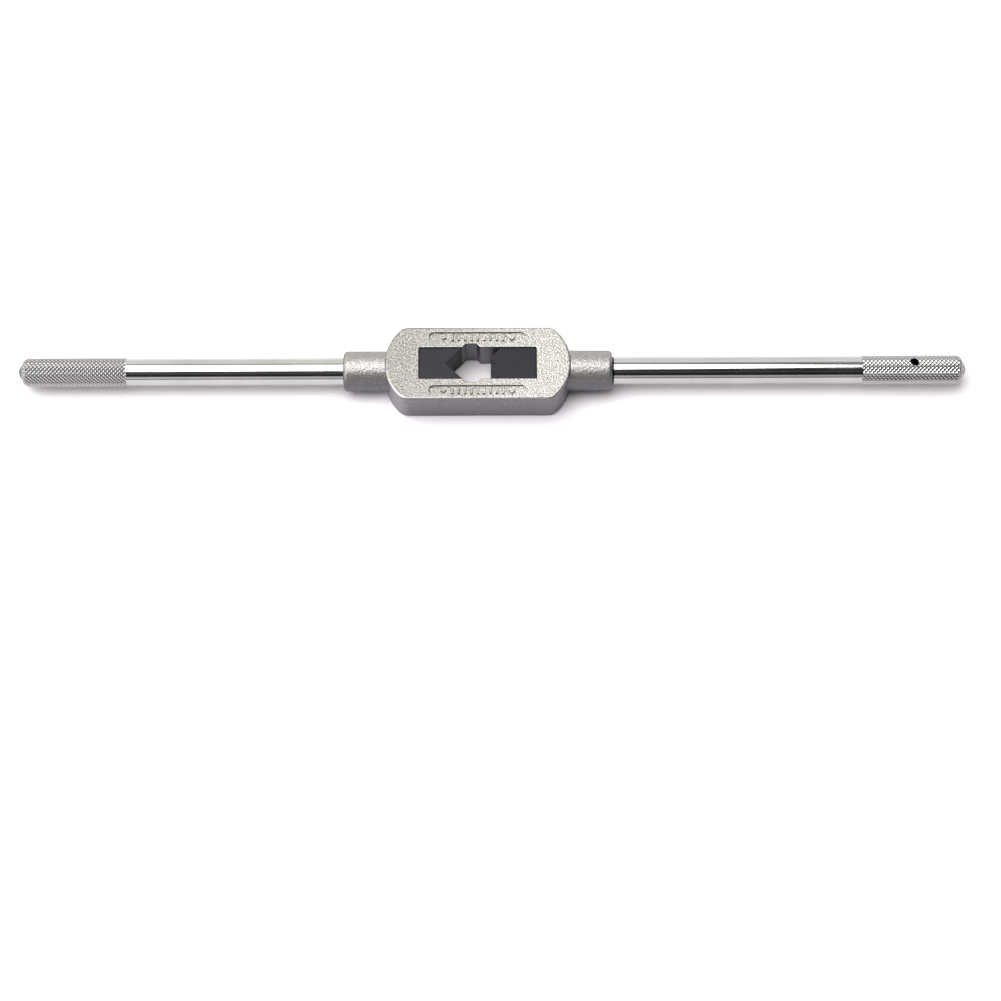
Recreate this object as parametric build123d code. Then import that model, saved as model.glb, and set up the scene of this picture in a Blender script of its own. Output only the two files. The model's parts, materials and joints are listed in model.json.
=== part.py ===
from build123d import *
import os

# Adjustable tap wrench, 480 mm long, for square tap shanks of 7 to 16 mm.
# Frame: origin at the centre of the body's bottom rest face, +Z up, +X along the handles
# towards the adjusting handle, +Y across the body. All lengths are in millimetres.

# Body casting, with its plan sizes at the base; the walls lean in towards the top
BODY_LENGTH = 95.4
BODY_WIDTH = 40.6
BODY_HEIGHT = 22.0
WALL_DRAFT = 2.0
END_ARC_RADIUS = 25.7
PLAN_CORNER_RADIUS = 6.7
FACE_EDGE_RADIUS = 1.2
BOSS_DIAMETER = 20.4
BOSS_END = 68.0
BOSS_ROOT_X = 36.0
BOSS_EDGE_RADIUS = 2.2
AXIS_HEIGHT = BODY_HEIGHT / 2

# Window that holds the jaws
WINDOW_LENGTH = 59.3
WINDOW_WIDTH = 17.0
WINDOW_CORNER_RADIUS = 0.6
WINDOW_EDGE_RADIUS = 0.45
RELIEF_X = -3.25
RELIEF_FLAT = 5.5
RELIEF_MOUTH = 8.9
RELIEF_DEPTH = 1.9
RELIEF_CORNER_RADIUS = 1.2

# Recessed label strips on the top face, with generic raised marks
STRIP_LENGTH = 49.2
STRIP_WIDTH = 5.3
STRIP_Y = 14.45
STRIP_SHIFT = -0.4
STRIP_DEPTH = 1.2
STRIP_RIM_RADIUS = 0.2
MARK_HEIGHT = 1.0
MARK_DRAFT = 12.0
MARK_TICK_WIDTH = 1.2
MARK_TICK_LENGTH = 3.6
MARK_PITCH = 3.2
MARK_COUNT = 9
DIAMOND_OFFSET = 4.4
DIAMOND_SMALL = 2.0
DIAMOND_LARGE = 2.7

# Jaws
JAW_SIDE_CLEARANCE = 0.08
JAW_BOTTOM = 0.85
JAW_TOP = 21.15
JAW_EDGE_CHAMFER = 0.2
FIXED_JAW_TIP_X = -8.0
FIXED_JAW_APEX_X = -16.1
MOVING_JAW_NOSE_X = 6.5
MOVING_JAW_SHOULDER_X = 11.4
MOVING_JAW_BACK_GAP = 0.25
NOSE_NOTCH_DEPTH = 2.4

# Handles
ROD_DIAMETER = 14.0
GRIP_DIAMETER = 14.5
FIXED_GRIP_LENGTH = 55.1
ADJUSTING_GRIP_LENGTH = 52.8
FIXED_HANDLE_END_X = -232.9
ADJUSTING_HANDLE_END_X = 247.1
GRIP_SHOULDER_CHAMFER = 0.25
FIXED_DOME_LENGTH = 4.4
ADJUSTING_DOME_LENGTH = 4.0
# dome profile: share of the dome's length in from the end, share of the grip's radius
DOME_PROFILE = [(0.0, 0.0), (0.20, 0.41), (0.45, 0.71), (0.74, 0.92), (1.0, 1.0)]

# Fixed handle seat: plain register, thread and nose
HANDLE_FIT = 0.02
HANDLE_BORE_DEPTH = 14.0
HANDLE_BORE_CHAMFER = 0.5
STUD_DIAMETER = 12.0
NOSE_DIAMETER = 8.0
NOSE_DEPTH = 7.0

# Adjusting spindle: M12 x 1.75 thread, neck and head in the moving jaw
JAW_TRAVEL = 16.0
THREAD_DIAMETER = 11.8
THREAD_ROOT_DIAMETER = 9.9
THREAD_PITCH = 1.75
# thread ridge: shares of the pitch at the crest's start, the crest's end and the next root
THREAD_CREST_START = 0.40
THREAD_CREST_END = 0.54
THREAD_ROOT_START = 0.94
THREAD_BORE_DIAMETER = 12.0
GUIDE_BORE_DIAMETER = 14.16
GUIDE_BORE_CHAMFER = 0.6
GUIDE_BORE_RESERVE = 0.5
ROD_INNER_X = 64.0
SPINDLE_HEAD_DIAMETER = 8.0
SPINDLE_BORE_DIAMETER = 8.16
SPINDLE_NECK_DIAMETER = 5.2
NECK_WIDTH = 3.2
NECK_FROM_BACK = 5.0
SPINDLE_HEAD_DEPTH = 11.0
SPINDLE_HEAD_CHAMFER = 0.5
SPINDLE_BORE_DEPTH = 11.6
SHOULDER_GAP = 0.1

# Keeper pins that trap the spindle's neck in the moving jaw
KEEPER_DIAMETER = 3.0
KEEPER_BOTTOM = 1.3
KEEPER_TOP = 16.6
KEEPER_NECK_CLEARANCE = 0.06
KEEPER_CHAMFER = 0.3

# Cross hole in the adjusting grip, for a tommy bar
CROSS_HOLE_DIAMETER = 4.0
CROSS_HOLE_FROM_END = 26.4
CROSS_HOLE_TILT = 13.0

OVERCUT = 2.0


def x_cylinder(radius, x_from, x_to):
    """Cylinder along X, centred on the handle axis."""
    plane = Plane(origin=(x_from, 0, AXIS_HEIGHT), x_dir=(0, 1, 0), z_dir=(1, 0, 0))
    return extrude(plane * Circle(radius), amount=x_to - x_from)


def x_cone(radius_from, radius_to, x_from, x_to):
    """Cone frustum along X, centred on the handle axis."""
    profile = Polyline((x_from, 0), (x_from, radius_from), (x_to, radius_to), (x_to, 0), close=True)
    return x_revolve(make_face(profile))


def x_revolve(face):
    """Revolves a face drawn in X and radius about the handle axis."""
    solid = revolve(Plane.XZ * face, axis=Axis.X)
    return Pos(0, 0, AXIS_HEIGHT) * solid


def prism(points, z_from, z_to):
    """Upright prism over a closed polygon in X and Y."""
    face = make_face(Polyline(*points, close=True))
    return Pos(0, 0, z_from) * extrude(face, amount=z_to - z_from)


def dome_points(x_end, inward, length):
    """Points of the rounded handle end, from the axis out to the grip's full radius."""
    radius = GRIP_DIAMETER / 2
    return [(x_end + inward * length * along, radius * out) for along, out in DOME_PROFILE]


def body_outline():
    """Plan outline of the body's base: two straight sides, an arc at each end, round corners."""
    half_length = BODY_LENGTH / 2
    half_width = BODY_WIDTH / 2
    arc_centre = half_length - END_ARC_RADIUS
    corner_x = arc_centre + (END_ARC_RADIUS**2 - half_width**2) ** 0.5
    outline = [
        Line((-corner_x, -half_width), (corner_x, -half_width)),
        ThreePointArc((corner_x, -half_width), (half_length, 0), (corner_x, half_width)),
        Line((corner_x, half_width), (-corner_x, half_width)),
        ThreePointArc((-corner_x, half_width), (-half_length, 0), (-corner_x, -half_width)),
    ]
    face = make_face(outline)
    return fillet(face.vertices(), PLAN_CORNER_RADIUS)


def body_block():
    """Drafted body block with rounded top and bottom edges, before any cutting."""
    block = extrude(body_outline(), amount=BODY_HEIGHT, taper=WALL_DRAFT)
    rims = block.edges().filter_by(lambda edge: edge.bounding_box().size.Z < 0.001)
    return fillet(rims, FACE_EDGE_RADIUS)


def boss(side):
    """Round boss on one end of the body, with a rounded outer edge."""
    cylinder = x_cylinder(BOSS_DIAMETER / 2, BOSS_ROOT_X, BOSS_END)
    outer_edge = cylinder.edges().sort_by(Axis.X)[-1]
    cylinder = fillet(outer_edge, BOSS_EDGE_RADIUS)
    if side < 0:
        cylinder = mirror(cylinder, about=Plane.YZ)
    return cylinder


def window_outline():
    """Window outline, with a relief notch half way along each long side."""
    half_length = WINDOW_LENGTH / 2
    half_width = WINDOW_WIDTH / 2
    deep = half_width + RELIEF_DEPTH
    mouth = (RELIEF_X - RELIEF_MOUTH / 2, RELIEF_X + RELIEF_MOUTH / 2)
    flat = (RELIEF_X - RELIEF_FLAT / 2, RELIEF_X + RELIEF_FLAT / 2)
    far_side = [
        (-half_length, half_width),
        (mouth[0], half_width),
        (flat[0], deep),
        (flat[1], deep),
        (mouth[1], half_width),
        (half_length, half_width),
    ]
    near_side = [(x, -y) for x, y in reversed(far_side)]
    outline = make_face(Polyline(*far_side, *near_side, close=True))
    corners = outline.vertices()
    mouths = corners.filter_by(lambda v: min(abs(v.X - mouth[0]), abs(v.X - mouth[1])) < 0.01)
    outline = fillet(mouths, RELIEF_CORNER_RADIUS)
    ends = outline.vertices().filter_by(lambda v: abs(abs(v.X) - half_length) < 0.01)
    return fillet(ends, WINDOW_CORNER_RADIUS)


def windowed_block():
    """Body block with the through window cut and its edges rounded."""
    depth = BODY_HEIGHT + 2 * OVERCUT
    block = body_block() - Pos(0, 0, -OVERCUT) * extrude(window_outline(), amount=depth)
    faces = block.faces().filter_by(Axis.Z).sort_by(Axis.Z)
    rims = faces[0].inner_wires()[0].edges() + faces[-1].inner_wires()[0].edges()
    return fillet(rims, WINDOW_EDGE_RADIUS)


def strip_recess():
    """Cutter for one label strip: a slot whose rim is flared to a rounded edge."""
    radius = STRIP_RIM_RADIUS
    base = BODY_HEIGHT - STRIP_DEPTH
    slot = Pos(0, 0, base) * extrude(SlotOverall(STRIP_LENGTH, STRIP_WIDTH), amount=STRIP_DEPTH)
    plate = Pos(0, 0, BODY_HEIGHT) * extrude(
        SlotOverall(STRIP_LENGTH + 4 * radius, STRIP_WIDTH + 4 * radius), amount=OVERCUT
    )
    cutter = slot + plate
    return fillet(cutter.edges().filter_by(is_slot_rim), radius)


def is_slot_rim(edge):
    """True for the edges where the slot meets the plate above it."""
    box = edge.bounding_box()
    flat = box.size.Z < 0.001 and abs(box.min.Z - BODY_HEIGHT) < 0.001
    inside = max(abs(box.min.Y), abs(box.max.Y)) < STRIP_WIDTH / 2 + STRIP_RIM_RADIUS
    return flat and inside


def strip_centres():
    """Y of the two strips, which sit a little towards the near side."""
    return (STRIP_Y + STRIP_SHIFT, -STRIP_Y + STRIP_SHIFT)


def raised_mark(width, length, turn=0.0):
    """One raised mark with drafted sides, standing on the origin."""
    return extrude(Rot(0, 0, turn) * Rectangle(width, length), amount=MARK_HEIGHT, taper=MARK_DRAFT)


def strip_marks():
    """Raised marks in the strips: a row of ticks between a small and a large diamond."""
    base = BODY_HEIGHT - STRIP_DEPTH
    tick = raised_mark(MARK_TICK_WIDTH, MARK_TICK_LENGTH)
    small = raised_mark(DIAMOND_SMALL, DIAMOND_SMALL, 45)
    large = raised_mark(DIAMOND_LARGE, DIAMOND_LARGE, 45)
    first_x = -MARK_PITCH * (MARK_COUNT - 1) / 2
    marks = []
    for y in strip_centres():
        for i in range(MARK_COUNT):
            marks.append(Pos(first_x + i * MARK_PITCH, y, base) * tick)
        marks.append(Pos(first_x - DIAMOND_OFFSET, y, base) * small)
        marks.append(Pos(-first_x + DIAMOND_OFFSET, y, base) * large)
    return marks


def guide_bore_inner_x():
    """Inner end of the guide bore, just past the rod's end with the wrench closed."""
    return ROD_INNER_X - JAW_TRAVEL - GUIDE_BORE_RESERVE


def body_casting():
    """Die-cast body: window, two bosses, handle bore, spindle bore and label strips."""
    body = windowed_block() + boss(1) + boss(-1)
    window_end = WINDOW_LENGTH / 2
    # bore for the fixed handle, from the left boss into the window
    register_x = -BOSS_END + HANDLE_BORE_DEPTH
    register = ROD_DIAMETER / 2 + HANDLE_FIT
    body -= x_cylinder(register, -BOSS_END - OVERCUT, register_x)
    body -= x_cylinder(STUD_DIAMETER / 2 + HANDLE_FIT, register_x - OVERCUT, -window_end + OVERCUT)
    mouth = register + HANDLE_BORE_CHAMFER
    body -= x_cone(mouth, register, -BOSS_END, -BOSS_END + HANDLE_BORE_CHAMFER)
    # guide bore and threaded bore for the spindle, from the right boss into the window
    body -= x_cylinder(GUIDE_BORE_DIAMETER / 2, guide_bore_inner_x(), BOSS_END + OVERCUT)
    body -= x_cylinder(THREAD_BORE_DIAMETER / 2, window_end - OVERCUT, BOSS_END)
    mouth = GUIDE_BORE_DIAMETER / 2 + GUIDE_BORE_CHAMFER
    body -= x_cone(GUIDE_BORE_DIAMETER / 2, mouth, BOSS_END - GUIDE_BORE_CHAMFER, BOSS_END)
    recess = strip_recess()
    for y in strip_centres():
        body -= Pos(0, y, 0) * recess
    for mark in strip_marks():
        body += mark
    return body


def jaw_chamfered(jaw):
    """Breaks the jaw's outline edges on its top and bottom faces."""
    rims = jaw.edges().filter_by(lambda edge: edge.bounding_box().size.Z < 0.001)
    return chamfer(rims, JAW_EDGE_CHAMFER)


def fixed_jaw():
    """Hardened jaw with a full-depth 90 degree V, held by the fixed handle's nose."""
    half_width = WINDOW_WIDTH / 2 - JAW_SIDE_CLEARANCE
    back_x = -WINDOW_LENGTH / 2
    v_half = FIXED_JAW_TIP_X - FIXED_JAW_APEX_X
    jaw = prism(
        [
            (back_x, -half_width),
            (FIXED_JAW_TIP_X, -half_width),
            (FIXED_JAW_TIP_X, -v_half),
            (FIXED_JAW_APEX_X, 0),
            (FIXED_JAW_TIP_X, v_half),
            (FIXED_JAW_TIP_X, half_width),
            (back_x, half_width),
        ],
        JAW_BOTTOM,
        JAW_TOP,
    )
    jaw = chamfer(jaw.edges().filter_by(Axis.Z).group_by(Axis.X)[0], WINDOW_CORNER_RADIUS)
    jaw = jaw_chamfered(jaw)
    return jaw - x_cylinder(NOSE_DIAMETER / 2, back_x - OVERCUT, back_x + NOSE_DEPTH)


def keeper_y():
    """Distance of each keeper pin's axis from the spindle axis."""
    return SPINDLE_NECK_DIAMETER / 2 + KEEPER_NECK_CLEARANCE + KEEPER_DIAMETER / 2


def moving_back_x():
    """Back face of the moving jaw with the wrench fully open."""
    return WINDOW_LENGTH / 2 - MOVING_JAW_BACK_GAP


def neck_centre_x():
    """Middle of the spindle's neck with the wrench fully open."""
    return moving_back_x() - NECK_FROM_BACK


def moving_jaw():
    """Hardened jaw with a wedge nose, a small V in its tip and a bore for the spindle."""
    half_width = WINDOW_WIDTH / 2 - JAW_SIDE_CLEARANCE
    back_x = moving_back_x()
    nose_half = half_width - (MOVING_JAW_SHOULDER_X - MOVING_JAW_NOSE_X)
    jaw = prism(
        [
            (back_x, -half_width),
            (MOVING_JAW_SHOULDER_X, -half_width),
            (MOVING_JAW_NOSE_X, -nose_half),
            (MOVING_JAW_NOSE_X, -NOSE_NOTCH_DEPTH),
            (MOVING_JAW_NOSE_X + NOSE_NOTCH_DEPTH, 0),
            (MOVING_JAW_NOSE_X, NOSE_NOTCH_DEPTH),
            (MOVING_JAW_NOSE_X, nose_half),
            (MOVING_JAW_SHOULDER_X, half_width),
            (back_x, half_width),
        ],
        JAW_BOTTOM,
        JAW_TOP,
    )
    jaw = chamfer(jaw.edges().filter_by(Axis.Z).group_by(Axis.X)[-1], WINDOW_CORNER_RADIUS)
    jaw = jaw_chamfered(jaw)
    jaw -= x_cylinder(SPINDLE_BORE_DIAMETER / 2, back_x - SPINDLE_BORE_DEPTH, back_x + OVERCUT)
    for side in (1, -1):
        hole = extrude(Circle(KEEPER_DIAMETER / 2), amount=KEEPER_TOP)
        jaw -= Pos(neck_centre_x(), side * keeper_y(), 0) * hole
    return jaw


def keeper_pin(side):
    """Straight pin pressed into the moving jaw from below, beside the spindle's neck."""
    pin = extrude(Circle(KEEPER_DIAMETER / 2), amount=KEEPER_TOP - KEEPER_BOTTOM)
    ends = pin.edges().filter_by(GeomType.CIRCLE)
    pin = chamfer(ends, KEEPER_CHAMFER)
    return Pos(neck_centre_x(), side * keeper_y(), KEEPER_BOTTOM) * pin


def fixed_handle():
    """Fixed handle: domed grip, plain rod, threaded stud and a nose that locks the jaw."""
    rod = ROD_DIAMETER / 2
    grip = GRIP_DIAMETER / 2
    grip_inner = FIXED_HANDLE_END_X + FIXED_GRIP_LENGTH
    register_x = -BOSS_END + HANDLE_BORE_DEPTH
    window_x = -WINDOW_LENGTH / 2
    dome = dome_points(FIXED_HANDLE_END_X, 1, FIXED_DOME_LENGTH)
    outline = [
        Spline(*dome, tangents=[(0, 1), (1, 0)]),
        Polyline(
            dome[-1],
            (grip_inner - GRIP_SHOULDER_CHAMFER, grip),
            (grip_inner, rod),
            (register_x, rod),
            (register_x, STUD_DIAMETER / 2),
            (window_x, STUD_DIAMETER / 2),
            (window_x, NOSE_DIAMETER / 2),
            (window_x + NOSE_DEPTH, NOSE_DIAMETER / 2),
            (window_x + NOSE_DEPTH, 0),
            dome[0],
        ),
    ]
    return x_revolve(make_face(outline))


def thread_points(x_from, x_to):
    """Zigzag profile of the spindle's thread ridges in X and radius."""
    crest = THREAD_DIAMETER / 2
    root = THREAD_ROOT_DIAMETER / 2
    count = int((x_to - x_from) / THREAD_PITCH)
    points = []
    for i in range(count):
        start = x_from + i * THREAD_PITCH
        points.append((start, root))
        points.append((start + THREAD_PITCH * THREAD_CREST_START, crest))
        points.append((start + THREAD_PITCH * THREAD_CREST_END, crest))
        points.append((start + THREAD_PITCH * THREAD_ROOT_START, root))
    return points


def adjusting_handle():
    """Adjusting spindle: domed grip with a cross hole, rod, thread, neck and head."""
    rod = ROD_DIAMETER / 2
    grip = GRIP_DIAMETER / 2
    head = SPINDLE_HEAD_DIAMETER / 2
    neck = SPINDLE_NECK_DIAMETER / 2
    back_x = moving_back_x()
    head_x = back_x - SPINDLE_HEAD_DEPTH
    neck_x = neck_centre_x()
    grip_inner = ADJUSTING_HANDLE_END_X - ADJUSTING_GRIP_LENGTH
    shoulder_x = back_x + SHOULDER_GAP
    dome = dome_points(ADJUSTING_HANDLE_END_X, -1, ADJUSTING_DOME_LENGTH)
    outline = [
        Spline(*dome, tangents=[(0, 1), (-1, 0)]),
        Polyline(
            dome[-1],
            (grip_inner + GRIP_SHOULDER_CHAMFER, grip),
            (grip_inner, rod),
            (ROD_INNER_X, rod),
            (ROD_INNER_X, THREAD_ROOT_DIAMETER / 2),
            *reversed(thread_points(shoulder_x, ROD_INNER_X - THREAD_PITCH)),
            (shoulder_x, head),
            (neck_x + NECK_WIDTH / 2, head),
            (neck_x + NECK_WIDTH / 2, neck),
            (neck_x - NECK_WIDTH / 2, neck),
            (neck_x - NECK_WIDTH / 2, head),
            (head_x + SPINDLE_HEAD_CHAMFER, head),
            (head_x, head - SPINDLE_HEAD_CHAMFER),
            (head_x, 0),
            dome[0],
        ),
    ]
    spindle = x_revolve(make_face(outline))
    hole = Cylinder(CROSS_HOLE_DIAMETER / 2, GRIP_DIAMETER + 2 * OVERCUT)
    hole_x = ADJUSTING_HANDLE_END_X - CROSS_HOLE_FROM_END
    return spindle - Pos(hole_x, 0, AXIS_HEIGHT) * Rot(-CROSS_HOLE_TILT, 0, 0) * hole


os.makedirs("parts", exist_ok=True)
export_step(body_casting(), "parts/body_casting.step")
export_step(fixed_jaw(), "parts/fixed_jaw.step")
export_step(moving_jaw(), "parts/moving_jaw.step")
export_step(keeper_pin(1), "parts/keeper_pin_far.step")
export_step(keeper_pin(-1), "parts/keeper_pin_near.step")
export_step(fixed_handle(), "parts/fixed_handle.step")
export_step(adjusting_handle(), "parts/adjusting_handle.step")
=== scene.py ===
import json
import math

import bmesh
import bpy
import numpy as np
from mathutils import Matrix, Vector


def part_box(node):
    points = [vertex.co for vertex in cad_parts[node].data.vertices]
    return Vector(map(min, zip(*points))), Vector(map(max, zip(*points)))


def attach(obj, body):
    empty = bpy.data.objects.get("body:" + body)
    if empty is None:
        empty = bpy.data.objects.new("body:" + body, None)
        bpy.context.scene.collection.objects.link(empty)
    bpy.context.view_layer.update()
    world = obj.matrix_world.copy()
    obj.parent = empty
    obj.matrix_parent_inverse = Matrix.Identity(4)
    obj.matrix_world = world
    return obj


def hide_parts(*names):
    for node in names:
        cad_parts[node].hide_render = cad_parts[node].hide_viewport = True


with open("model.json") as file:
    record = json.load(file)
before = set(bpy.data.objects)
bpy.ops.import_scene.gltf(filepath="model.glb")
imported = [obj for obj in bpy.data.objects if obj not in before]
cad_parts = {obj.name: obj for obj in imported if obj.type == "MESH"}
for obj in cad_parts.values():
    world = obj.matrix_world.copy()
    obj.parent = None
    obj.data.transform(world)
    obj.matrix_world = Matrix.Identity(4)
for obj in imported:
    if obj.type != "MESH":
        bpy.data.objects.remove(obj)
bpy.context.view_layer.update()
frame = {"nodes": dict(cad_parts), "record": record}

MM = 0.001


def node_box(node):
    """A CAD node's lowest and highest corner in metres, rounded to the micrometre."""
    return [[round(value / MM, 3) * MM for value in corner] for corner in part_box(node)]


# Places taken from the frame
MOUNTS = {mount["name"]: mount for mount in frame["record"]["mounts"]}
AXIS_Z = MOUNTS["fixed_grip"]["pos_m"][2]
GRIP_RADIUS = MOUNTS["fixed_grip"]["dims"]["r_mm"] * MM
CROSS_HOLE_X = MOUNTS["tommy_bar_hole"]["pos_m"][0]
CROSS_HOLE_RADIUS = MOUNTS["tommy_bar_hole"]["dims"]["r_mm"] * MM
CROSS_HOLE_AXIS = MOUNTS["tommy_bar_hole"]["axis"]
CROSS_HOLE_TILT = math.atan2(CROSS_HOLE_AXIS[1], CROSS_HOLE_AXIS[2])
BODY_TOP_Z = node_box("body_casting")[1][2]
BOSS_END_X = node_box("body_casting")[1][0]
FIXED_END_X = node_box("fixed_handle")[0][0]
ADJUSTING_END_X = node_box("adjusting_handle")[1][0]

# The casting: where its bosses start and their radius, and how far the window reaches
BOSS_ROOT_X = 43.8 * MM
BOSS_RADIUS = 10.2 * MM
WINDOW_REACH_X = 29.95 * MM
WINDOW_REACH_Y = 10.85 * MM

# Handles
ROD_RADIUS = 7.0 * MM
FIXED_GRIP_LENGTH = 55.1 * MM
FIXED_DOME_LENGTH = 4.4 * MM
ADJUSTING_GRIP_LENGTH = 52.8 * MM
ADJUSTING_DOME_LENGTH = 4.0 * MM
SHARP_DEGREES = 20.0

# Dome outline: share of its length from the tip, share of the grip's radius
DOME_OUTLINE = ((0.0, 0.03), (0.20, 0.41), (0.45, 0.71), (0.74, 0.92), (1.0, 1.0))
# Its rings: first and last share of the grip's radius, number of rings
DOME_INNER_RINGS = (0.03, 0.55, 4)
DOME_OUTER_RINGS = (0.62, 1.0, 14)

# Knurling: diamonds from two crossing sets of spiral grooves
KNURL_LINES = 20
KNURL_PITCH = 2.04 * MM
KNURL_STEPS = 8
KNURL_STEP = KNURL_PITCH / KNURL_STEPS
KNURL_DEPTH = 0.28 * MM
KNURL_FLAT = 0.24
KNURL_REACH_ON_DOME = 5.5 * MM
KNURL_FADE = 0.8 * MM
KNURL_END_FADE = 0.3 * MM
KNURL_END_SHARE = 0.05
# painted shade in the fixed grip's knurling, stronger than on the adjusting grip
FIXED_GRIP_GROOVE_SHADE = 1.28
AROUND = KNURL_LINES * KNURL_STEPS

# Outlines inwards from the grips: place along the axis and radius, in millimetres. Each ends
# just off the axis, where the mesh closes in a point.
FIXED_ROD = [(-165.0, 7.0), (-120.0, 7.0), (-70.0, 7.0), (-54.0, 7.0)]
FIXED_STUD = [(-54.0, 6.0), (-29.65, 6.0)]
FIXED_NOSE = [(-29.65, 4.0), (-23.15, 4.0), (-22.65, 3.5), (-22.65, 0.2)]
SPINDLE_ROD = [(180.0, 7.0), (130.0, 7.0), (80.0, 7.0), (64.0, 7.0), (64.0, 4.95), (62.2, 4.95)]
SPINDLE_SHANK = [(29.5, 4.9), (29.5, 4.0), (26.0, 4.0)]
SPINDLE_NECK = [(26.0, 2.6), (22.8, 2.6)]
SPINDLE_HEAD = [(22.8, 4.0), (18.9, 4.0), (18.4, 3.5), (18.4, 0.2)]

# Spindle thread
THREAD_START_X = 62.0
THREAD_END_X = 29.5
THREAD_PITCH = 1.75
THREAD_CREST = 5.9
THREAD_ROOT = 4.95
THREAD_STEPS = 12
THREAD_CREST_SHARE = 0.12
THREAD_FLANK_SHARE = 0.72
THREAD_FADE_RINGS = 9.0

# Cross hole cutter: height in millimetres and share of the hole's radius
CUTTER_OUTLINE = ((-9.0, 1.30), (-7.0, 1.20), (-6.6, 1.0), (6.6, 1.0), (7.0, 1.20), (9.0, 1.30))
CUTTER_SIDES = 40

# Fineness of each texture, in cycles per metre
ZINC_PITS = 1200.0
ZINC_GRAIN = 1450.0
ZINC_WOBBLE = 30.0
JAW_CLOUDS = 140.0
JAW_DUST = 700.0
JAW_GRAIN = 1400.0
STEEL_CLOUDS = 45.0
STEEL_TURNING_MARKS = 2600.0
PIN_GRAIN = 1800.0


# ---------------------------------------------------------------- node helpers
def new_material(name):
    mat = bpy.data.materials.new(name)
    mat.use_nodes = True
    nodes = mat.node_tree.nodes
    nodes.clear()
    out = nodes.new("ShaderNodeOutputMaterial")
    shader = nodes.new("ShaderNodeBsdfPrincipled")
    mat.node_tree.links.new(shader.outputs["BSDF"], out.inputs["Surface"])
    return mat, mat.node_tree, shader


def object_coords(tree, scale=(1, 1, 1)):
    coord = tree.nodes.new("ShaderNodeTexCoord")
    mapping = tree.nodes.new("ShaderNodeMapping")
    mapping.inputs["Scale"].default_value = scale
    tree.links.new(coord.outputs["Object"], mapping.inputs["Vector"])
    return mapping.outputs["Vector"]


def split(tree, vector):
    """The x, y and z sockets of a vector."""
    node = tree.nodes.new("ShaderNodeSeparateXYZ")
    tree.links.new(vector, node.inputs["Vector"])
    return node.outputs["X"], node.outputs["Y"], node.outputs["Z"]


def noise(tree, vector, scale, detail=3.0, roughness=0.55):
    node = tree.nodes.new("ShaderNodeTexNoise")
    node.inputs["Scale"].default_value = scale
    node.inputs["Detail"].default_value = detail
    node.inputs["Roughness"].default_value = roughness
    tree.links.new(vector, node.inputs["Vector"])
    return node.outputs["Fac"]


def voronoi(tree, vector, scale, feature="F1"):
    node = tree.nodes.new("ShaderNodeTexVoronoi")
    node.feature = feature
    node.inputs["Scale"].default_value = scale
    tree.links.new(vector, node.inputs["Vector"])
    return node.outputs["Distance"]


def remap(tree, value, low, high, to_low=0.0, to_high=1.0):
    node = tree.nodes.new("ShaderNodeMapRange")
    node.inputs["From Min"].default_value = low
    node.inputs["From Max"].default_value = high
    node.inputs["To Min"].default_value = to_low
    node.inputs["To Max"].default_value = to_high
    tree.links.new(value, node.inputs["Value"])
    return node.outputs["Result"]


def above(tree, value, edge, blend):
    """1 above the edge and 0 below it, blended over a width centred on the edge."""
    return remap(tree, value, edge - blend / 2, edge + blend / 2)


def below(tree, value, edge, blend):
    """0 above the edge and 1 below it, blended over a width centred on the edge."""
    return remap(tree, value, edge - blend / 2, edge + blend / 2, 1.0, 0.0)


def math_node(tree, kind, a, b=0.0):
    node = tree.nodes.new("ShaderNodeMath")
    node.operation = kind
    for socket, value in zip(node.inputs, (a, b)):
        if isinstance(value, (int, float)):
            socket.default_value = value
        else:
            tree.links.new(value, socket)
    return node.outputs["Value"]


def product(tree, result, *factors):
    for factor in factors:
        result = math_node(tree, "MULTIPLY", result, factor)
    return result


def rest_of(tree, share):
    return math_node(tree, "SUBTRACT", 1.0, share)


def radius_of(tree, a, b):
    """Distance from an axis, from the two distances across it."""
    squares = math_node(tree, "ADD", product(tree, a, a), product(tree, b, b))
    return math_node(tree, "SQRT", squares)


def ramp(tree, value, stops):
    node = tree.nodes.new("ShaderNodeValToRGB")
    points = node.color_ramp.elements
    while len(points) < len(stops):
        points.new(0.5)
    for point, (place, colour) in zip(points, stops):
        point.position = place
        point.color = (*colour, 1.0)
    tree.links.new(value, node.inputs["Fac"])
    return node.outputs["Color"]


def active_socket(sockets, name):
    """A Mix node has one socket of each name for every data type, and one is enabled."""
    return [s for s in sockets if s.name == name and s.enabled][0]


def mix_colour(tree, factor, a, b, kind="MIX"):
    node = tree.nodes.new("ShaderNodeMix")
    node.data_type = "RGBA"
    node.blend_type = kind
    for name, value in (("Factor", factor), ("A", a), ("B", b)):
        socket = active_socket(node.inputs, name)
        if isinstance(value, tuple):
            socket.default_value = (*value, 1.0)
        else:
            tree.links.new(value, socket)
    return active_socket(node.outputs, "Result")


def bump(tree, height, strength, distance):
    node = tree.nodes.new("ShaderNodeBump")
    node.inputs["Strength"].default_value = strength
    node.inputs["Distance"].default_value = distance
    tree.links.new(height, node.inputs["Height"])
    return node


def flat_top_normal(tree, geometry):
    """The smoothed normal, except on level faces, which keep their own."""
    true_normal = geometry.outputs["True Normal"]
    level = remap(tree, split(tree, true_normal)[2], 0.9990, 0.9999)
    node = tree.nodes.new("ShaderNodeMix")
    node.data_type = "VECTOR"
    tree.links.new(level, active_socket(node.inputs, "Factor"))
    tree.links.new(geometry.outputs["Normal"], active_socket(node.inputs, "A"))
    tree.links.new(true_normal, active_socket(node.inputs, "B"))
    return active_socket(node.outputs, "Result")


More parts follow.
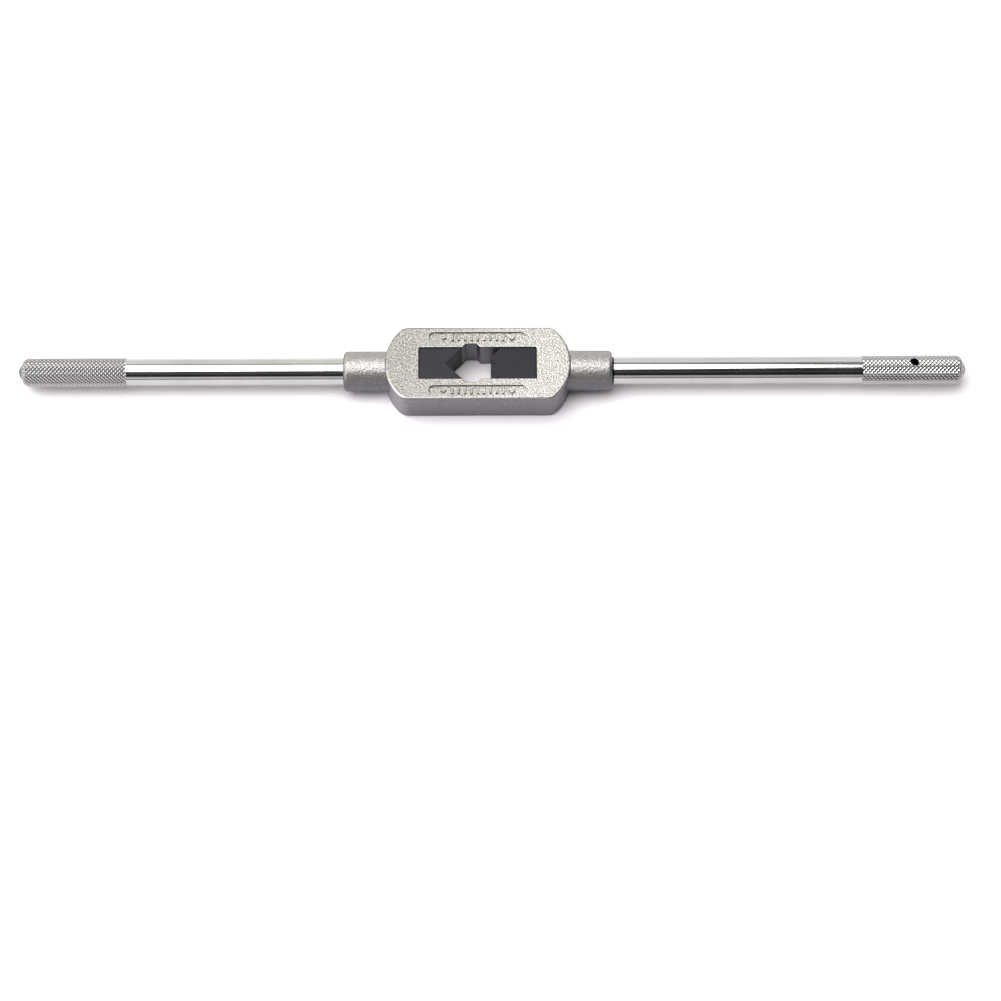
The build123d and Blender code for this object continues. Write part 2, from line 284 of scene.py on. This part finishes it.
# ------------------------------------------------------------------- materials
def zinc_areas(tree, where, geometry):
    """Areas of the casting with a colour of their own, mostly painted light and shade, each a share
    from 0 to 1.
    """
    x, y, z = split(tree, where)
    _, normal_y, normal_z = split(tree, geometry.outputs["Normal"])
    away_x = math_node(tree, "ABSOLUTE", x)
    away_y = math_node(tree, "ABSOLUTE", y)
    level = math_node(tree, "ABSOLUTE", normal_z)
    off_axis = radius_of(tree, math_node(tree, "SUBTRACT", z, AXIS_Z), away_y)
    # a smooth wobble of the border of the painted shade on the top face
    wobble = remap(tree, noise(tree, where, ZINC_WOBBLE), 0.3, 0.7, -12.0 * MM, 12.0 * MM)
    wobbly_x = math_node(tree, "ADD", x, wobble)

    # faces turned up take the lit colour, walls a painted shade
    face = remap(tree, level, 0.45, 0.80)
    boss = product(tree, above(tree, away_x, BOSS_ROOT_X, 0.4 * MM),
                   below(tree, off_axis, BOSS_RADIUS + 0.2 * MM, 0.2 * MM))
    body = rest_of(tree, boss)
    edge = product(tree, remap(tree, level, 0.995, 0.96), remap(tree, level, 0.45, 0.70))
    window = product(tree, below(tree, away_x, WINDOW_REACH_X, 0.3 * MM),
                     below(tree, away_y, WINDOW_REACH_Y, 0.3 * MM))
    return {
        "face": face,
        "boss": boss,
        # painted highlight on the rounded rims that face the near side, which are also worn a little
        # smoother
        "rim": product(tree, edge, body, remap(tree, normal_y, -0.05, -0.25)),
        # the window's inner walls, coloured with a painted shade of their own
        "window_wall": product(tree, window, rest_of(tree, face)),
        # painted light: the body's own walls are lighter towards the fixed end, where more light
        # falls
        "fixed_end_wall_light": product(tree, remap(tree, x, -43.0 * MM, -34.0 * MM, 0.55, 0.0), body),
        # painted shade: the bosses' undersides are coloured near black
        "boss_underside_shade": product(tree, boss, remap(tree, normal_z, 0.03, -0.20, 0.0, 0.85)),
        # painted shade: the top face is darker towards the fixed end
        "fixed_end_face_shade": product(tree, remap(tree, wobbly_x, -46.0 * MM, 30.0 * MM, 0.55, 0.0), body, face),
    }


def zinc_colour(tree, grain, areas):
    bright = ramp(tree, grain, [(0.34, (0.200, 0.196, 0.173)), (0.50, (0.332, 0.327, 0.298)),
                                (0.64, (0.458, 0.453, 0.426))])
    # painted shade: walls get a darker, cooler copy of the zinc colour, the bosses' walls darker
    # still
    wall = ramp(tree, grain, [(0.30, (0.123, 0.116, 0.132)), (0.70, (0.200, 0.191, 0.212))])
    part_boss = product(tree, areas["boss"], 0.35)
    # painted light on the walls at the fixed end
    wall = mix_colour(tree, areas["fixed_end_wall_light"], wall, (0.34, 0.33, 0.345))
    wall = mix_colour(tree, part_boss, wall, (0.078, 0.082, 0.088))
    bright = mix_colour(tree, part_boss, bright, (0.300, 0.292, 0.284))
    bright = mix_colour(tree, areas["boss"], bright, (0.965, 0.948, 0.985), "MULTIPLY")
    colour = mix_colour(tree, areas["face"], wall, bright)
    # painted shade under the bosses
    colour = mix_colour(tree, areas["boss_underside_shade"], colour, (0.045, 0.043, 0.048))
    # painted shade: the window's inner walls get a cooler shade of their own
    colour = mix_colour(tree, areas["window_wall"], colour, (0.165, 0.157, 0.180))
    # painted shade on the top face towards the fixed end
    colour = mix_colour(tree, areas["fixed_end_face_shade"], colour, (0.35, 0.345, 0.34), "MULTIPLY")
    # painted highlight along the rims that face the near side
    return mix_colour(tree, product(tree, areas["rim"], 0.8), colour, (0.62, 0.62, 0.61))


def zinc_material():
    """As-cast and tumbled zinc: bright pitted top faces; smoother walls coloured darker as painted
    shade.
    """
    mat, tree, shader = new_material("tumbled_zinc")
    where = object_coords(tree)
    geometry = tree.nodes.new("ShaderNodeNewGeometry")
    areas = zinc_areas(tree, where, geometry)
    cells = voronoi(tree, where, ZINC_PITS, "SMOOTH_F1")
    grain = noise(tree, where, ZINC_GRAIN, roughness=0.6)
    tree.links.new(zinc_colour(tree, grain, areas), shader.inputs["Base Color"])
    rough = remap(tree, grain, 0.3, 0.7, 0.52, 0.36)
    rough = math_node(tree, "SUBTRACT", rough, product(tree, areas["rim"], 0.10))
    tree.links.new(rough, shader.inputs["Roughness"])
    # the pitting is shallow on walls and rims, and softer on the bosses
    pits = math_node(tree, "ADD", product(tree, cells, 1.1), grain)
    strength = product(tree, remap(tree, areas["face"], 0.0, 1.0, 0.25, 1.0),
                       rest_of(tree, product(tree, areas["rim"], 0.8)),
                       remap(tree, areas["boss"], 0.0, 1.0, 1.0, 0.72))
    pitted = bump(tree, pits, 1.0, 0.21 * MM)
    tree.links.new(strength, pitted.inputs["Strength"])
    tree.links.new(flat_top_normal(tree, geometry), pitted.inputs["Normal"])
    tree.links.new(pitted.outputs["Normal"], shader.inputs["Normal"])
    shader.inputs["Metallic"].default_value = 1.0
    return mat


def blued_material():
    """Hardened and blackened steel with a few dust specks."""
    mat, tree, shader = new_material("blued_steel")
    where = object_coords(tree)
    x, _, _ = split(tree, where)
    clouds = noise(tree, where, JAW_CLOUDS, 4.0)
    colour = ramp(tree, clouds, [(0.3, (0.0105, 0.0085, 0.0130)), (0.7, (0.0180, 0.0150, 0.0215))])
    # the sliding jaw, on the +X side, is a shade darker than the fixed jaw
    sliding = product(tree, above(tree, x, 0.0, 2.0 * MM), 0.45)
    colour = mix_colour(tree, sliding, colour, (0.004, 0.003, 0.006))
    specks = remap(tree, voronoi(tree, where, JAW_DUST), 0.10, 0.20, 0.5, 0.0)
    colour = mix_colour(tree, specks, colour, (0.055, 0.052, 0.050))
    tree.links.new(colour, shader.inputs["Base Color"])
    tree.links.new(remap(tree, clouds, 0.3, 0.7, 0.42, 0.56), shader.inputs["Roughness"])
    fine = bump(tree, noise(tree, where, JAW_GRAIN, 2.0), 0.35, 0.06 * MM)
    tree.links.new(fine.outputs["Normal"], shader.inputs["Normal"])
    shader.inputs["Metallic"].default_value = 0.0
    shader.inputs["Specular IOR Level"].default_value = 0.19
    return mat


def cross_hole_distance(tree, x, y, z):
    """Distance from the tilted centre line of the tommy-bar hole."""
    along = math_node(tree, "SUBTRACT", x, CROSS_HOLE_X)
    height = math_node(tree, "SUBTRACT", z, AXIS_Z)
    across = math_node(tree, "SUBTRACT", product(tree, y, math.cos(CROSS_HOLE_TILT)),
                       product(tree, height, math.sin(CROSS_HOLE_TILT)))
    return radius_of(tree, along, across)


def bright_material():
    """Bright plated steel, turned, with painted shade in the knurling's grooves."""
    mat, tree, shader = new_material("bright_steel")
    where = object_coords(tree)
    x, y, z = split(tree, where)
    groove = tree.nodes.new("ShaderNodeAttribute")
    groove.attribute_name = "groove"
    depth = groove.outputs["Fac"]
    clouds = noise(tree, where, STEEL_CLOUDS, 4.0)
    colour = ramp(tree, clouds, [(0.3, (0.42, 0.42, 0.41)), (0.7, (0.47, 0.47, 0.465))])
    # painted shade: the knurling's grooves are coloured dark
    groove_shade = remap(tree, depth, 0.57, 0.97, 0.0, 0.82)
    colour = mix_colour(tree, groove_shade, colour, (0.095, 0.090, 0.082))
    # painted shade: the cross hole's wall is coloured near black
    hole = below(tree, cross_hole_distance(tree, x, y, z), CROSS_HOLE_RADIUS + 0.175 * MM, 0.15 * MM)
    colour = mix_colour(tree, hole, colour, (0.018, 0.017, 0.016))
    # painted shade: the domed tips are coloured dark
    tips = math_node(tree, "ADD", below(tree, x, FIXED_END_X + 2.2 * MM, 0.8 * MM),
                     above(tree, x, ADJUSTING_END_X - 1.55 * MM, 0.7 * MM))
    colour = mix_colour(tree, product(tree, tips, 0.85), colour, (0.065, 0.063, 0.064))
    # painted shadow: a thin dark ring on the spindle's rod, where it leaves the guide bore
    rod_shadow_ring = product(tree, above(tree, x, BOSS_END_X - 0.5 * MM, 0.2 * MM),
                     below(tree, x, BOSS_END_X + 0.825 * MM, 0.15 * MM))
    colour = mix_colour(tree, rod_shadow_ring, colour, (0.012, 0.011, 0.011))
    tree.links.new(colour, shader.inputs["Base Color"])
    rough = remap(tree, clouds, 0.3, 0.7, 0.07, 0.14)
    rough = math_node(tree, "ADD", rough, remap(tree, depth, 0.0, 1.0, 0.0, 0.12))
    tree.links.new(rough, shader.inputs["Roughness"])
    # turning marks run around the axis, so their noise changes mostly along it
    marks = noise(tree, object_coords(tree, (1.0, 0.02, 0.02)), STEEL_TURNING_MARKS)
    turned = bump(tree, marks, 0.05, 0.02 * MM)
    tree.links.new(turned.outputs["Normal"], shader.inputs["Normal"])
    shader.inputs["Metallic"].default_value = 1.0
    return mat


def pin_material():
    """Finely ground steel."""
    mat, tree, shader = new_material("ground_pin_steel")
    fine = noise(tree, object_coords(tree), PIN_GRAIN, 2.0)
    colour = ramp(tree, fine, [(0.3, (0.30, 0.30, 0.31)), (0.7, (0.44, 0.44, 0.45))])
    tree.links.new(colour, shader.inputs["Base Color"])
    tree.links.new(remap(tree, fine, 0.3, 0.7, 0.25, 0.4), shader.inputs["Roughness"])
    ground = bump(tree, fine, 0.2, 0.03 * MM)
    tree.links.new(ground.outputs["Normal"], shader.inputs["Normal"])
    shader.inputs["Metallic"].default_value = 1.0
    return mat


# ------------------------------------------------------------- turned handles
def knurl_cuts(*phases):
    """How deep each crossing groove cuts, from 0 on a diamond's flat top to 1."""
    cuts = []
    for phase in phases:
        share = abs((phase % 1.0) - 0.5) * 2.0
        cuts.append(max(0.0, (share - KNURL_FLAT) / (1.0 - KNURL_FLAT)))
    return cuts


def ring_points(rings, groove_shade):
    """Points of every ring, how deep in a groove each lies, and the grooves' cuts by point."""
    verts, groove = [], []
    cuts = {}
    for j, (x, radius, normal_x, normal_r, share, step) in enumerate(rings):
        for i in range(AROUND):
            angle = 2.0 * math.pi * i / AROUND
            depth = 0.0
            if share > 0.0:
                pair = knurl_cuts((i + step) / KNURL_STEPS, (i - step) / KNURL_STEPS)
                cuts[(j, i)] = pair
                depth = max(pair) * share
            r = radius - depth * KNURL_DEPTH * normal_r
            px = x - depth * KNURL_DEPTH * normal_x
            verts.append((px, r * math.sin(angle), AXIS_Z + r * math.cos(angle)))
            groove.append(depth * groove_shade)
    return verts, groove, cuts


def side_faces(ring_count, cuts):
    """Faces between rings; a knurled cell is split along the groove or ridge that crosses it."""
    faces = []
    for j in range(ring_count - 1):
        for i in range(AROUND):
            k = (i + 1) % AROUND
            a, b = j * AROUND + i, j * AROUND + k
            c, d = (j + 1) * AROUND + k, (j + 1) * AROUND + i
            if (j, i) not in cuts or (j + 1, i) not in cuts:
                faces.append((a, b, c, d))
                continue
            falling = max(cuts[(j, i)][0], cuts[(j + 1, k)][0])
            rising = max(cuts[(j, i)][1], cuts[(j + 1, k)][1])
            if falling < rising:
                faces += [(a, b, c), (a, c, d)]
            else:
                faces += [(a, b, d), (b, c, d)]
    return faces


def turned_mesh(name, rings, groove_shade=1.0):
    """Closed lathe mesh along X. A ring is (x, radius, normal x, normal r, knurl share, step)."""
    verts, groove, cuts = ring_points(rings, groove_shade)
    faces = side_faces(len(rings), cuts)
    for ring, flip in ((0, False), (len(rings) - 1, True)):
        pole = len(verts)
        verts.append((rings[ring][0], 0.0, AXIS_Z))
        groove.append(0.0)
        for i in range(AROUND):
            a, b = ring * AROUND + i, ring * AROUND + (i + 1) % AROUND
            faces.append((pole, a, b) if flip else (pole, b, a))
    mesh = bpy.data.meshes.new(name)
    mesh.from_pydata(verts, [], faces)
    attribute = mesh.attributes.new("groove", "FLOAT", "POINT")
    attribute.data.foreach_set("value", groove)
    mesh.validate()
    bm = bmesh.new()
    bm.from_mesh(mesh)
    bmesh.ops.recalc_face_normals(bm, faces=bm.faces)
    bm.to_mesh(mesh)
    bm.free()
    return mesh


def finish_piece(mesh, mat):
    mesh.shade_smooth()
    mesh.set_sharp_from_angle(angle=math.radians(SHARP_DEGREES))
    mesh.materials.append(mat)
    piece = bpy.data.objects.new(mesh.name, mesh)
    bpy.context.scene.collection.objects.link(piece)
    return piece


def dome_points(end_x, inward, length):
    """Smooth curve through the dome's outline, as (x, radius) from near the axis to the grip."""
    alongs, radii = zip(*DOME_OUTLINE)
    curve = np.polynomial.Polynomial.fit(radii, alongs, len(DOME_OUTLINE) - 1)
    points = []
    for r in (*np.linspace(*DOME_INNER_RINGS), *np.linspace(*DOME_OUTER_RINGS)):
        along = min(max(float(curve(r)), 0.0), 1.0)
        points.append((end_x + inward * along * length, float(r) * GRIP_RADIUS))
    return points


def dome_rings(end_x, inward, length):
    """Rings of the domed end, with the knurling running on over its rim."""
    dome = dome_points(end_x, inward, length)
    # arc length from the cylinder's start back to each point
    arc = [0.0]
    for (x0, r0), (x1, r1) in zip(dome[::-1], dome[::-1][1:]):
        arc.append(arc[-1] + math.hypot(x1 - x0, r1 - r0))
    arc = arc[::-1]
    rings = []
    for n, (x, r) in enumerate(dome):
        before, after = dome[max(n - 1, 0)], dome[min(n + 1, len(dome) - 1)]
        tangent_x, tangent_r = after[0] - before[0], after[1] - before[1]
        size = math.hypot(tangent_x, tangent_r)
        normal_x, normal_r = -tangent_r / size * inward, abs(tangent_x) / size
        share = min(1.0, max(0.0, (KNURL_REACH_ON_DOME - arc[n]) / KNURL_FADE))
        rings.append((x, r, normal_x, normal_r, share, -arc[n] / KNURL_STEP))
    return rings


def grip_rings(end_x, inward, grip_length, dome_length):
    """Rings of a knurled grip, from its domed end to its inner shoulder."""
    rings = dome_rings(end_x, inward, dome_length)
    shoulder_x = end_x + inward * grip_length
    for n in range(1, int((grip_length - dome_length) / KNURL_STEP) + 1):
        x = end_x + inward * (dome_length + n * KNURL_STEP)
        share = min(1.0, max(KNURL_END_SHARE, abs(shoulder_x - x) / KNURL_END_FADE))
        rings.append((x, GRIP_RADIUS, 0.0, 1.0, share, n))
    rings.append((shoulder_x, GRIP_RADIUS, 0.0, 1.0, 0.0, 0))
    rings.append((shoulder_x, ROD_RADIUS, 0.0, 1.0, 0.0, 0))
    return rings


def plain_rings(outline):
    return [(x * MM, radius * MM, 0.0, 1.0, 0.0, 0) for x, radius in outline]


def fixed_handle_piece(mat):
    rings = grip_rings(FIXED_END_X, 1.0, FIXED_GRIP_LENGTH, FIXED_DOME_LENGTH)
    rings += plain_rings(FIXED_ROD + FIXED_STUD + FIXED_NOSE)
    return finish_piece(turned_mesh("fixed_handle_knurled", rings, FIXED_GRIP_GROOVE_SHADE), mat)


def adjusting_handle_piece(mat):
    rings = grip_rings(ADJUSTING_END_X, -1.0, ADJUSTING_GRIP_LENGTH, ADJUSTING_DOME_LENGTH)
    rings += plain_rings(SPINDLE_ROD)
    first = len(rings)
    rings += plain_rings(thread_outline())
    last = len(rings) - 1
    rings += plain_rings(SPINDLE_SHANK + SPINDLE_NECK + SPINDLE_HEAD)
    mesh = turned_mesh("adjusting_handle_knurled", rings)
    shape_thread(mesh, first, last)
    return finish_piece(mesh, mat)


def thread_outline():
    """The thread's length at crest height, with a fixed number of points to each turn."""
    count = int((THREAD_START_X - THREAD_END_X) / THREAD_PITCH * THREAD_STEPS)
    return [(THREAD_START_X - n * THREAD_PITCH / THREAD_STEPS, THREAD_CREST)
            for n in range(count)]


def shape_thread(mesh, first, last):
    """Pulls the rings from first to last to a right-hand helix, fading out at its two ends."""
    crest, root = THREAD_CREST * MM, THREAD_ROOT * MM
    for j in range(first, last + 1):
        fade = min(1.0, min(j - first, last - j) / THREAD_FADE_RINGS)
        for i in range(AROUND):
            vertex = mesh.vertices[j * AROUND + i]
            angle = 2.0 * math.pi * i / AROUND
            phase = (vertex.co.x / (THREAD_PITCH * MM) + angle / (2.0 * math.pi)) % 1.0
            down = (abs(phase - 0.5) * 2.0 - THREAD_CREST_SHARE) / THREAD_FLANK_SHARE
            radius = crest - (crest - root) * min(1.0, max(0.0, down))
            radius = root + (radius - root) * fade
            vertex.co.y = radius * math.sin(angle)
            vertex.co.z = AXIS_Z + radius * math.cos(angle)


def cutter_mesh():
    """Round bar that flares at both ends, so that it breaks the hole's edges."""
    bm = bmesh.new()
    loops = []
    for z, share in CUTTER_OUTLINE:
        loop = []
        for i in range(CUTTER_SIDES):
            angle = 2 * math.pi * i / CUTTER_SIDES
            radius = CROSS_HOLE_RADIUS * share
            loop.append(bm.verts.new((radius * math.cos(angle), radius * math.sin(angle), z * MM)))
        loops.append(loop)
    for low, high in zip(loops, loops[1:]):
        for i in range(CUTTER_SIDES):
            k = (i + 1) % CUTTER_SIDES
            bm.faces.new((low[i], low[k], high[k], high[i]))
    bm.faces.new(loops[0][::-1])
    bm.faces.new(loops[-1])
    mesh = bpy.data.meshes.new("cutter")
    bm.to_mesh(mesh)
    bm.free()
    return mesh


def cut_cross_hole(piece):
    """Cuts the tommy-bar hole through the adjusting grip, with broken edges."""
    mesh = cutter_mesh()
    cutter = bpy.data.objects.new("cutter", mesh)
    bpy.context.scene.collection.objects.link(cutter)
    cutter.matrix_world = (Matrix.Translation((CROSS_HOLE_X, 0, AXIS_Z))
                           @ Matrix.Rotation(-CROSS_HOLE_TILT, 4, "X"))
    bpy.context.view_layer.update()
    modifier = piece.modifiers.new("hole", "BOOLEAN")
    modifier.operation = "DIFFERENCE"
    modifier.solver = "EXACT"
    modifier.object = cutter
    graph = bpy.context.evaluated_depsgraph_get()
    uncut = piece.data
    cut = bpy.data.meshes.new_from_object(piece.evaluated_get(graph))
    piece.modifiers.clear()
    piece.data = cut
    bpy.data.meshes.remove(uncut)
    bpy.data.objects.remove(cutter)
    bpy.data.meshes.remove(mesh)


# --------------------------------------------------------------- stage, lights
def make_stage():
    half = 6.0
    mesh = bpy.data.meshes.new("floor")
    mesh.from_pydata([(-half, -half, 0), (half, -half, 0), (half, half, 0), (-half, half, 0)],
                     [], [(0, 1, 2, 3)])
    floor = bpy.data.objects.new("floor", mesh)
    bpy.context.scene.collection.objects.link(floor)
    mat, _, shader = new_material("white_floor")
    shader.inputs["Base Color"].default_value = (0.93, 0.898, 0.926, 1.0)
    shader.inputs["Roughness"].default_value = 0.9
    shader.inputs["Specular IOR Level"].default_value = 0.0
    mesh.materials.append(mat)


# Brightness and warmth of the room, by degrees from straight up towards the far side
ROOM = (
    (-180, 0.16, 0.0), (-86, 0.16, 0.0),
    # a low light strip on the near side, then the dark ceiling above it with one dim panel
    (-80, 0.54, -0.02), (-67, 0.62, -0.02),
    (-62, 0.018, -0.10), (-50, 0.018, -0.10), (-42, 0.052, -0.08), (-34, 0.100, -0.06),
    (-27, 0.045, -0.06), (-16, 0.035, -0.06),
    # overhead, and the white sweep behind
    (-4, 0.2, 0.0), (30, 0.2, 0.0), (44, 0.35, 0.02), (50, 0.9, 0.03), (62, 0.95, 0.06),
    (90, 0.88, 0.08), (180, 0.88, 0.08),
)
ROOM_STRENGTH = 1.5
ROOM_LEAN = 0.36


def room_colours(tree, angle):
    stops = []
    for degrees, grey, warmth in ROOM:
        colour = (grey, grey * (1 - 0.4 * abs(warmth)), grey * (1 - warmth))
        stops.append(((degrees + 180) / 360, colour))
    return ramp(tree, remap(tree, angle, -math.pi, math.pi), stops)


def make_world():
    """Studio surroundings by direction: white sweep behind, dark room on the near side."""
    world = bpy.data.worlds.new("studio")
    bpy.context.scene.world = world
    world.use_nodes = True
    tree = world.node_tree
    tree.nodes.clear()
    out = tree.nodes.new("ShaderNodeOutputWorld")
    back = tree.nodes.new("ShaderNodeBackground")
    coord = tree.nodes.new("ShaderNodeTexCoord")
    sideways, away, up = split(tree, coord.outputs["Generated"])
    angle = math_node(tree, "ARCTAN2", away, up)
    colour = room_colours(tree, angle)
    # the light strip low on the near side is short, and beyond its ends the room is dark
    low = remap(tree, angle, math.radians(-50), math.radians(-58))
    past_strip = remap(tree, math_node(tree, "ABSOLUTE", sideways), 0.28, 0.42)
    colour = mix_colour(tree, product(tree, past_strip, low), colour, (0.06, 0.058, 0.064))
    # a white panel at the left end, a dark one at the right end
    left_end = remap(tree, sideways, -0.45, -0.70)
    right_end = remap(tree, sideways, 0.55, 0.9)
    colour = mix_colour(tree, left_end, colour, (1.15, 1.13, 1.16))
    colour = mix_colour(tree, right_end, colour, (0.10, 0.095, 0.105))
    tree.links.new(colour, back.inputs["Color"])
    # the near side of the room is brighter to the left
    near = remap(tree, angle, math.radians(-5), math.radians(-12))
    lean = product(tree, remap(tree, sideways, -0.15, 0.15, ROOM_LEAN, -ROOM_LEAN), near)
    strength = math_node(tree, "ADD", ROOM_STRENGTH, lean)
    tree.links.new(strength, back.inputs["Strength"])
    tree.links.new(back.outputs["Background"], out.inputs["Surface"])


def make_softbox():
    """Large oval softbox overhead, a little to the left and behind, turned slightly."""
    place = Vector((-0.42, 0.21, 1.50))
    target = Vector((-0.42, 0.02, 0.0))
    turn = math.radians(14.0)
    data = bpy.data.lights.new("softbox", "AREA")
    data.shape = "ELLIPSE"
    data.size = 1.76
    data.size_y = 1.50
    data.energy = 35.2
    lamp = bpy.data.objects.new("softbox", data)
    bpy.context.scene.collection.objects.link(lamp)
    lamp.matrix_world = (Matrix.Translation(place)
                         @ (target - place).to_track_quat("-Z", "Y").to_matrix().to_4x4()
                         @ Matrix.Rotation(turn, 4, "Z"))


def make_camera():
    """Camera above the near side, aimed so that the wrench sits high in the frame."""
    distance = 1.15
    view_width = 503.6031 * MM
    pitch = math.radians(70.5)
    roll = math.radians(-0.19)
    # the middle of the body's top face stands left of the frame's centre and above it
    anchor = Vector((0, 0, BODY_TOP_Z))
    anchor_in_view = Vector((-11.4455 * MM, 69.3775 * MM, -distance))
    data = bpy.data.cameras.new("camera")
    data.sensor_width = 36.0
    data.lens = data.sensor_width * distance / view_width
    data.clip_start = 0.01
    data.clip_end = 50.0
    turn = Matrix.Rotation(math.pi / 2 - pitch, 4, "X") @ Matrix.Rotation(roll, 4, "Z")
    camera = bpy.data.objects.new("camera", data)
    bpy.context.scene.collection.objects.link(camera)
    camera.matrix_world = Matrix.Translation(anchor - turn.to_3x3() @ anchor_in_view) @ turn
    bpy.context.scene.camera = camera


# -------------------------------------------------------------------- assembly
zinc = zinc_material()
blued = blued_material()
bright = bright_material()
pin_steel = pin_material()

for node, mat in (("body_casting", zinc), ("fixed_jaw", blued), ("moving_jaw", blued),
                  ("keeper_pin_far", pin_steel), ("keeper_pin_near", pin_steel)):
    for material_slot in frame["nodes"][node].material_slots:
        material_slot.material = mat

fixed = fixed_handle_piece(bright)
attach(fixed, "wrench_body")
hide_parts("fixed_handle")

turning = adjusting_handle_piece(bright)
cut_cross_hole(turning)
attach(turning, "spindle")
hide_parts("adjusting_handle")

make_stage()
make_world()
make_camera()
make_softbox()

view = bpy.context.scene.view_settings
view.view_transform = "Standard"
view.look = "None"
view.exposure = 0.0
